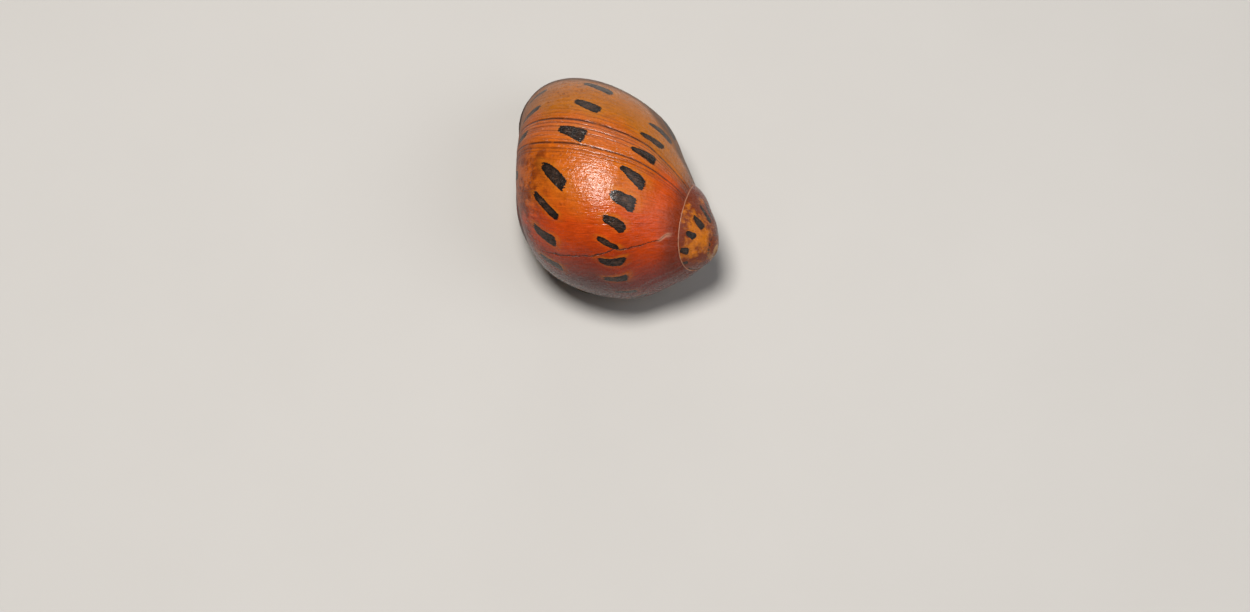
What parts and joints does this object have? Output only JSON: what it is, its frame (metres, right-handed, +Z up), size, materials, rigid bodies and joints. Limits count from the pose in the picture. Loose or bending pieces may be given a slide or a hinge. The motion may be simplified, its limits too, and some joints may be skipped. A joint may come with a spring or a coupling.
{
  "type": "nerite snail",
  "caption": "Life-size still model of a live nerite snail crawling on its foot, with a glossy orange shell marked by rows of dark dashes.",
  "frame": {"origin": "on the floor, under the middle of the animal's box", "axes": "+Z up, +Y towards the head, +X to the animal's right"},
  "size_m": [0.0186, 0.0228, 0.0153],
  "materials": {
    "shell": "gloss",
    "worn_apex": "satin",
    "callus": "gloss",
    "operculum": "satin",
    "flesh": "satin",
    "dark_flesh": "satin",
    "eye": "gloss"
  },
  "bodies": {
    "root": {"shell_body_whorl": "shell", "shell_spire": "shell", "shell_apex": "worn_apex", "shell_columellar_deck": "callus", "operculum": "operculum", "mantle": "dark_flesh", "foot_tail": "flesh", "foot_middle": "flesh", "foot_front": "flesh", "body_column": "flesh", "head": "flesh", "snout": "flesh", "tentacle_left_base": "dark_flesh", "tentacle_left_tip": "dark_flesh", "tentacle_right_base": "dark_flesh", "tentacle_right_tip": "dark_flesh", "eyestalk_left": "dark_flesh", "eyestalk_right": "dark_flesh", "eye_left": "eye", "eye_right": "eye"}
  },
  "joints": []
}
